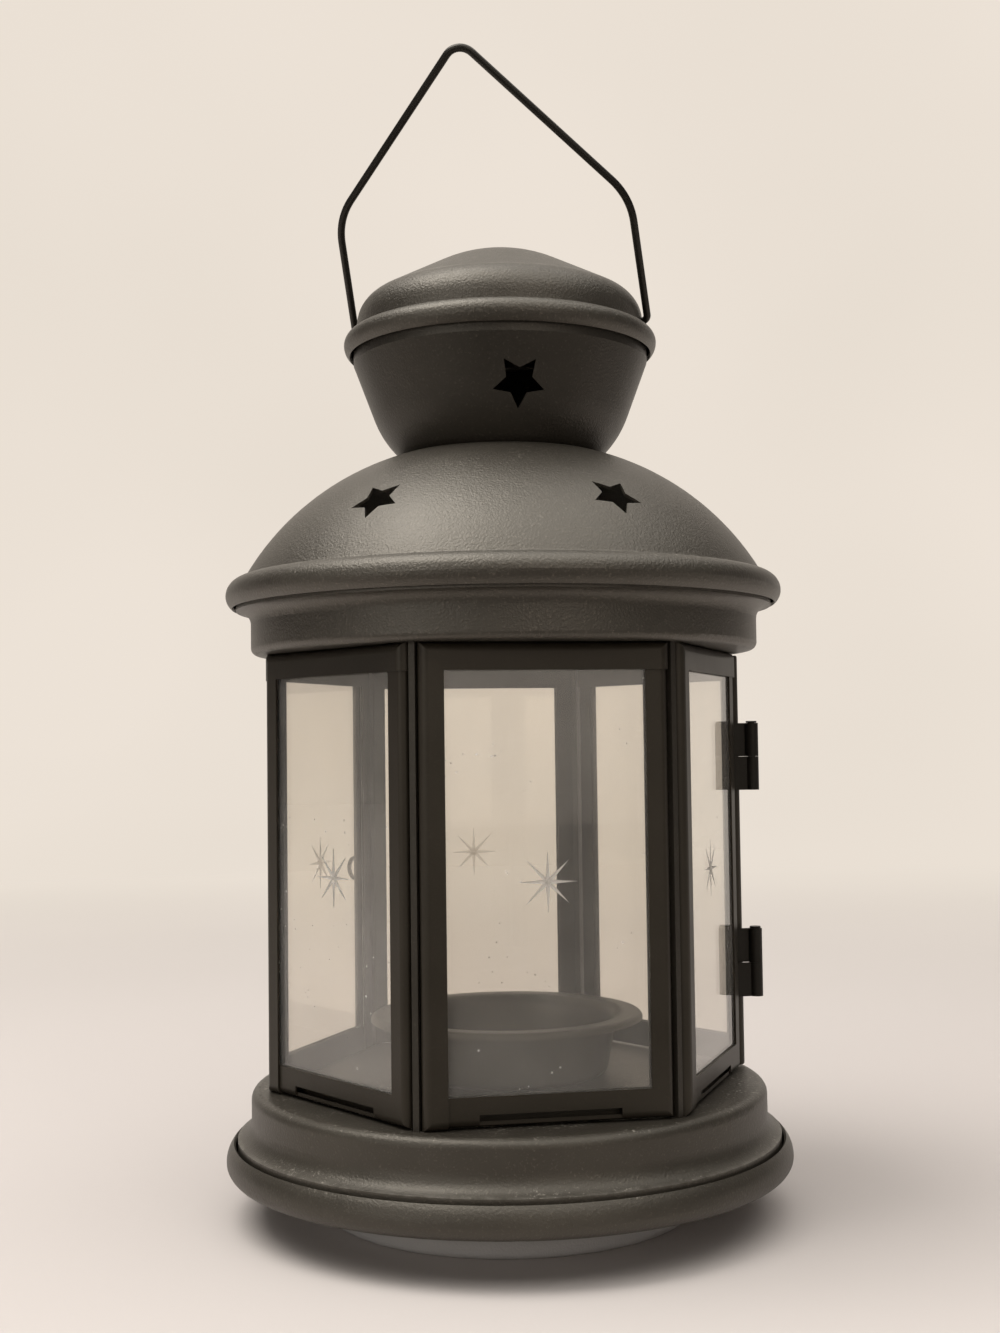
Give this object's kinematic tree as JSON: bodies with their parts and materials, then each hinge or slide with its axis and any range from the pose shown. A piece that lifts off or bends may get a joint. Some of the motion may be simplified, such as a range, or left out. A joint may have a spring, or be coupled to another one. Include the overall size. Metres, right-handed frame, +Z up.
{
  "type": "candle lantern",
  "caption": "Dark coated sheet-steel candle lantern with glazed sides, a hinged glazed door, a round base, a domed roof with star vents and a wire carrying handle.",
  "frame": {"origin": "on the table under the middle of the foot", "axes": "+Z up along the lantern's axis, -Y towards the side seen in the picture, +X to its right"},
  "size_m": [0.1214, 0.1214, 0.2394],
  "materials": {
    "base_coat": "satin powder coat",
    "panel_coat": "satin powder coat",
    "roof_coat": "satin powder coat",
    "cup_coat": "satin powder coat",
    "strip_steel": "satin powder coat",
    "hinge_steel": "satin black paint",
    "wire": "semi-gloss black paint",
    "pane_glass": "clear, with a cut star"
  },
  "bodies": {
    "lantern": {"base_pan": "base_coat", "base_drum": "base_coat", "candle_cup": "cup_coat", "cup_rivet": "strip_steel", "front_frame_upper": "panel_coat", "front_frame_lower": "panel_coat", "front_glass": "pane_glass", "right_frame_upper": "panel_coat", "right_frame_lower": "panel_coat", "right_glass": "pane_glass", "rear_left_frame_upper": "panel_coat", "rear_left_frame_lower": "panel_coat", "rear_left_glass": "pane_glass", "left_frame_upper": "panel_coat", "left_frame_lower": "panel_coat", "left_glass": "pane_glass", "front_left_corner_strip": "strip_steel", "front_right_corner_strip": "strip_steel", "left_corner_strip": "strip_steel", "door_stop": "strip_steel", "upper_hinge_fixed_leaf": "hinge_steel", "upper_hinge_pin": "hinge_steel", "lower_hinge_fixed_leaf": "hinge_steel", "lower_hinge_pin": "hinge_steel", "collar": "roof_coat", "dome": "roof_coat", "vent_bowl": "roof_coat", "cap": "roof_coat"},
    "door": {"door_right_frame_upper": "panel_coat", "door_right_frame_lower": "panel_coat", "door_right_glass": "pane_glass", "door_rear_frame_upper": "panel_coat", "door_rear_frame_lower": "panel_coat", "door_rear_glass": "pane_glass", "door_corner_strip": "strip_steel", "upper_hinge_door_leaf": "hinge_steel", "lower_hinge_door_leaf": "hinge_steel", "door_pull": "wire"},
    "bail": {"bail": "wire"}
  },
  "joints": [
    {"name": "door_hinge", "type": "hinge", "parent": "lantern", "child": "door", "pos_m": [0.05562, 0.00981, 0.073], "axis": [0, 0, -1], "range_deg": [0, 110]},
    {"name": "bail_pivot", "type": "hinge", "parent": "lantern", "child": "bail", "pos_m": [0, 0, 0.1914], "axis": [0.9816, -0.1908, 0], "range_deg": [-135, 55]}
  ]
}
